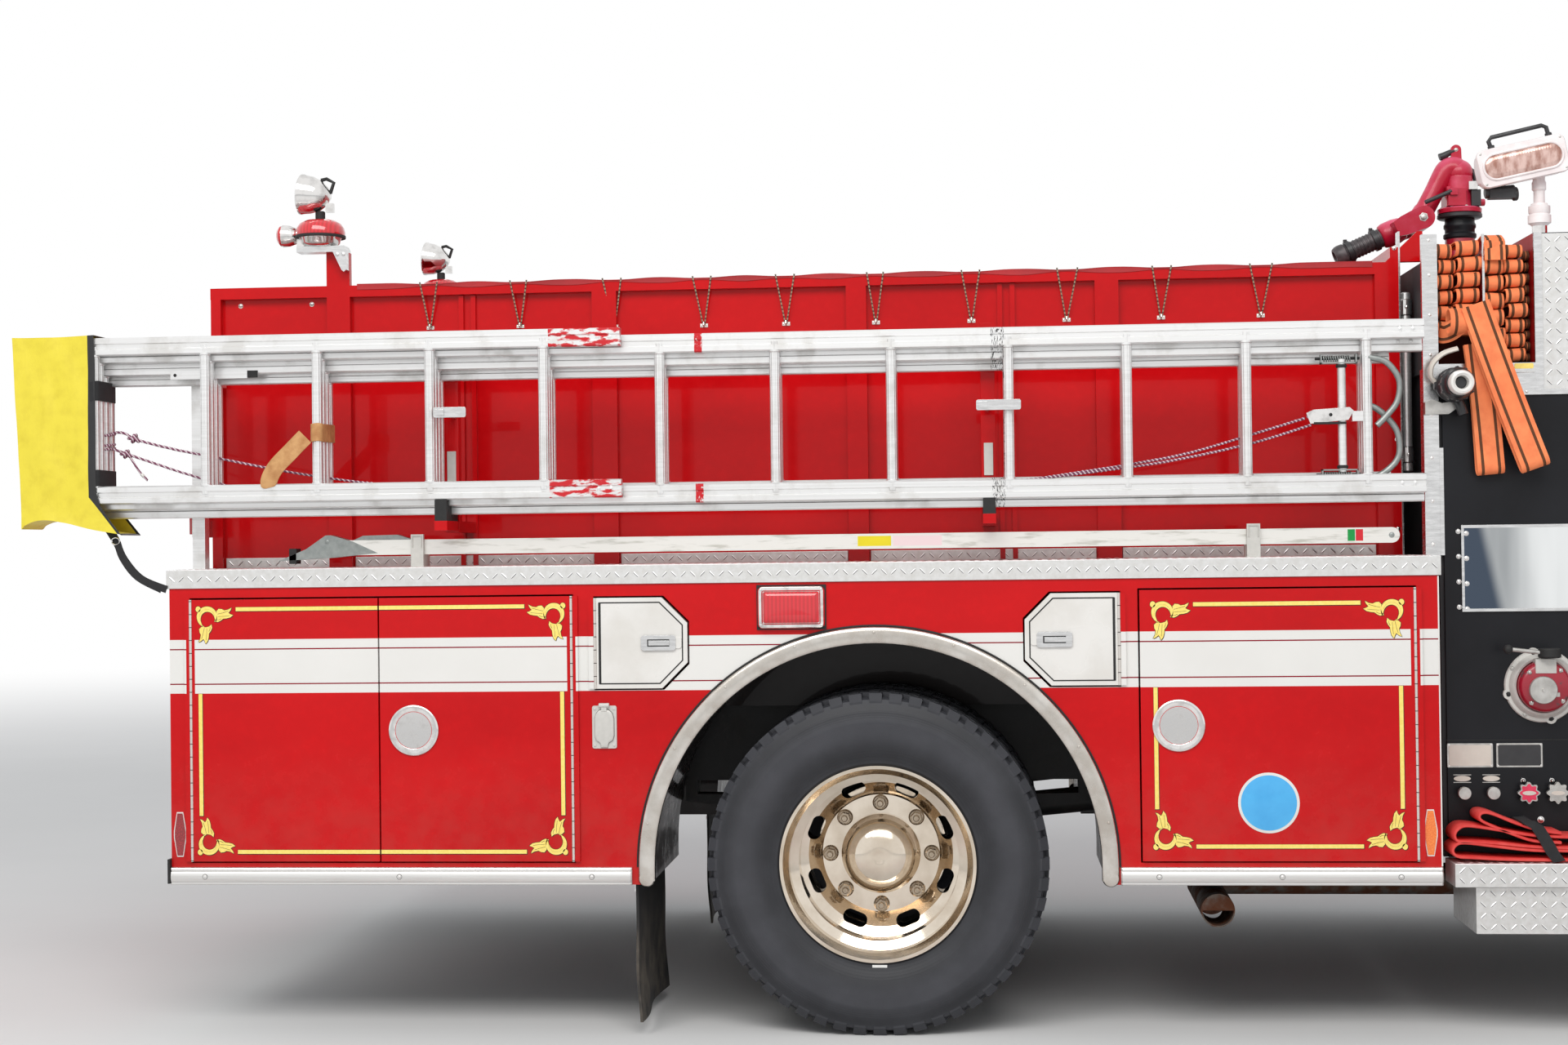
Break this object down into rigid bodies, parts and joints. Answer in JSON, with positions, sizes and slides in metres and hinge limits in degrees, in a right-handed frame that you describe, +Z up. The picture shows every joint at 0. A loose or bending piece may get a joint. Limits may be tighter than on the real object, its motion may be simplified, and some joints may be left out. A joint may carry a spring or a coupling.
{
  "type": "fire engine",
  "caption": "Pumper fire engine with locker doors, side pump panel, hose bed, side ladders, crew cab and deck monitor.",
  "frame": {"origin": "on the ground, below the middle of the vehicle's bounding box", "axes": "+X towards the front of the vehicle, +Y to its left, +Z up"},
  "size_m": [9.09, 2.8, 2.89],
  "materials": {
    "red_paint": "gloss",
    "bright_trim": "satin",
    "chassis_black": "satin",
    "engine": "matte",
    "rim_metal": "polished",
    "tyre": "matte",
    "steel": "satin",
    "rubber": "matte",
    "panel_black": "satin",
    "ladder_aluminium": "satin",
    "cover_vinyl": "satin",
    "bag_vinyl": "matte",
    "hose_fabric": "matte",
    "lamp": "gloss",
    "glass": "clear",
    "white_paint": "gloss",
    "seat_fabric": "matte",
    "plastic": "matte",
    "mirror": "gloss",
    "monitor_red": "gloss",
    "brushed": "satin"
  },
  "bodies": {
    "chassis": {"frame_rails": "chassis_black", "engine_and_pump": "engine", "rear_axle": "chassis_black", "front_axle": "chassis_black", "fuel_tank": "bright_trim", "exhaust_pipe": "steel", "body_pod_right": "red_paint", "body_pod_left": "red_paint", "body_centre": "red_paint", "hose_bed": "red_paint", "body_trim": "bright_trim", "mud_flaps": "rubber", "pump_house": "red_paint", "pump_panels": "panel_black", "pump_fittings": "brushed", "hoses": "hose_fabric", "hose_bed_cover": "cover_vinyl", "outer_ladders": "ladder_aluminium", "extension_ladder": "ladder_aluminium", "attic_ladder": "ladder_aluminium", "ladder_rack": "steel", "ladder_cover": "bag_vinyl", "body_lamps": "lamp", "cab_shell": "red_paint", "cab_glass": "glass", "front_bumper": "rim_metal", "cab_grille": "rim_metal", "light_bar": "lamp", "mirrors": "mirror", "seats": "seat_fabric", "dashboard": "plastic"},
    "rear_wheels_right": {"rear_rims_right": "rim_metal", "rear_tyres_right": "tyre"},
    "rear_wheels_left": {"rear_rims_left": "rim_metal", "rear_tyres_left": "tyre"},
    "knuckle_right": {"knuckle_right": "chassis_black"},
    "knuckle_left": {"knuckle_left": "chassis_black"},
    "front_wheel_right": {"front_rim_right": "rim_metal", "front_tyre_right": "tyre"},
    "front_wheel_left": {"front_rim_left": "rim_metal", "front_tyre_left": "tyre"},
    "steering_wheel": {"steering_wheel": "plastic"},
    "flood_lamp": {"flood_lamp": "white_paint"},
    "monitor_elbow": {"monitor_elbow": "monitor_red"},
    "monitor_barrel": {"monitor_barrel": "panel_black"},
    "rear_locker_door": {"rear_locker_door": "bright_trim"},
    "aft_door_right": {"aft_door_right": "red_paint"},
    "mid_door_right": {"mid_door_right": "red_paint"},
    "fore_door_right": {"fore_door_right": "red_paint"},
    "fender_door_aft_right": {"fender_door_aft_right": "white_paint"},
    "fender_door_fore_right": {"fender_door_fore_right": "white_paint"},
    "front_cab_door_right": {"front_cab_door_right": "red_paint"},
    "rear_cab_door_right": {"rear_cab_door_right": "red_paint"},
    "aft_door_left": {"aft_door_left": "red_paint"},
    "mid_door_left": {"mid_door_left": "red_paint"},
    "fore_door_left": {"fore_door_left": "red_paint"},
    "fender_door_aft_left": {"fender_door_aft_left": "white_paint"},
    "fender_door_fore_left": {"fender_door_fore_left": "white_paint"},
    "front_cab_door_left": {"front_cab_door_left": "red_paint"},
    "rear_cab_door_left": {"rear_cab_door_left": "red_paint"}
  },
  "joints": [
    {"name": "rear_wheels_right_spin", "type": "hinge", "parent": "chassis", "child": "rear_wheels_right", "pos_m": [-1.855, -0.896, 0.52], "axis": [0, 1, 0], "continuous": true},
    {"name": "steer_right", "type": "hinge", "parent": "chassis", "child": "knuckle_right", "pos_m": [2.845, -0.86, 0.52], "axis": [0, 0, 1], "range_deg": [-35, 35]},
    {"name": "front_wheel_right_spin", "type": "hinge", "parent": "knuckle_right", "child": "front_wheel_right", "pos_m": [2.845, -1.015, 0.52], "axis": [0, 1, 0], "continuous": true},
    {"name": "aft_door_right_hinge", "type": "hinge", "parent": "chassis", "child": "aft_door_right", "pos_m": [-3.968, -1.228, 0.941], "axis": [0, 0, -1], "range_deg": [0, 90]},
    {"name": "mid_door_right_hinge", "type": "hinge", "parent": "chassis", "child": "mid_door_right", "pos_m": [-2.777, -1.228, 0.941], "axis": [0, 0, 1], "range_deg": [0, 90]},
    {"name": "fore_door_right_hinge", "type": "hinge", "parent": "chassis", "child": "fore_door_right", "pos_m": [-0.257, -1.228, 0.941], "axis": [0, 0, 1], "range_deg": [0, 90]},
    {"name": "fender_door_aft_right_hinge", "type": "hinge", "parent": "chassis", "child": "fender_door_aft_right", "pos_m": [-2.704, -1.228, 1.2], "axis": [0, 0, -1], "range_deg": [0, 90]},
    {"name": "fender_door_fore_right_hinge", "type": "hinge", "parent": "chassis", "child": "fender_door_fore_right", "pos_m": [-1.123, -1.228, 1.2], "axis": [0, 0, 1], "range_deg": [0, 90]},
    {"name": "front_cab_door_right_hinge", "type": "hinge", "parent": "chassis", "child": "front_cab_door_right", "pos_m": [3.785, -1.205, 1.5], "axis": [0, 0, 1], "range_deg": [0, 75]},
    {"name": "rear_cab_door_right_hinge", "type": "hinge", "parent": "chassis", "child": "rear_cab_door_right", "pos_m": [2.095, -1.205, 1.5], "axis": [0, 0, 1], "range_deg": [0, 75]},
    {"name": "rear_wheels_left_spin", "type": "hinge", "parent": "chassis", "child": "rear_wheels_left", "pos_m": [-1.855, 0.896, 0.52], "axis": [0, 1, 0], "continuous": true},
    {"name": "steer_left", "type": "hinge", "parent": "chassis", "child": "knuckle_left", "pos_m": [2.845, 0.86, 0.52], "axis": [0, 0, 1], "range_deg": [-35, 35]},
    {"name": "front_wheel_left_spin", "type": "hinge", "parent": "knuckle_left", "child": "front_wheel_left", "pos_m": [2.845, 1.015, 0.52], "axis": [0, 1, 0], "continuous": true},
    {"name": "aft_door_left_hinge", "type": "hinge", "parent": "chassis", "child": "aft_door_left", "pos_m": [-3.968, 1.228, 0.941], "axis": [0, 0, 1], "range_deg": [0, 90]},
    {"name": "mid_door_left_hinge", "type": "hinge", "parent": "chassis", "child": "mid_door_left", "pos_m": [-2.777, 1.228, 0.941], "axis": [0, 0, -1], "range_deg": [0, 90]},
    {"name": "fore_door_left_hinge", "type": "hinge", "parent": "chassis", "child": "fore_door_left", "pos_m": [-0.257, 1.228, 0.941], "axis": [0, 0, -1], "range_deg": [0, 90]},
    {"name": "fender_door_aft_left_hinge", "type": "hinge", "parent": "chassis", "child": "fender_door_aft_left", "pos_m": [-2.704, 1.228, 1.2], "axis": [0, 0, 1], "range_deg": [0, 90]},
    {"name": "fender_door_fore_left_hinge", "type": "hinge", "parent": "chassis", "child": "fender_door_fore_left", "pos_m": [-1.123, 1.228, 1.2], "axis": [0, 0, -1], "range_deg": [0, 90]},
    {"name": "front_cab_door_left_hinge", "type": "hinge", "parent": "chassis", "child": "front_cab_door_left", "pos_m": [3.785, 1.205, 1.5], "axis": [0, 0, -1], "range_deg": [0, 75]},
    {"name": "rear_cab_door_left_hinge", "type": "hinge", "parent": "chassis", "child": "rear_cab_door_left", "pos_m": [2.095, 1.205, 1.5], "axis": [0, 0, -1], "range_deg": [0, 75]},
    {"name": "rear_locker_door_hinge", "type": "hinge", "parent": "chassis", "child": "rear_locker_door", "pos_m": [-3.715, 0.395, 1.195], "axis": [0, 0, -1], "range_deg": [0, 90]},
    {"name": "steering_wheel_turn", "type": "hinge", "parent": "chassis", "child": "steering_wheel", "pos_m": [3.615, 0.64, 1.8], "axis": [-0.4771, 0, 0.8789], "range_deg": [-525, 525]},
    {"name": "flood_lamp_rise", "type": "slide", "parent": "chassis", "child": "flood_lamp", "axis": [0, 0, 1], "range_m": [0, 0.7]},
    {"name": "monitor_turn", "type": "hinge", "parent": "chassis", "child": "monitor_elbow", "pos_m": [0.149, 0, 2.6], "axis": [0, 0, 1], "range_deg": [-180, 180]},
    {"name": "monitor_tilt", "type": "hinge", "parent": "monitor_elbow", "child": "monitor_barrel", "pos_m": [0.005, 0, 2.596], "axis": [0, 1, 0], "range_deg": [0, 60]}
  ],
  "couplings": [
    {"joint": "steer_right", "follows": "steer_left", "ratio": 1},
    {"joint": "steering_wheel_turn", "follows": "steer_left", "ratio": 15}
  ]
}
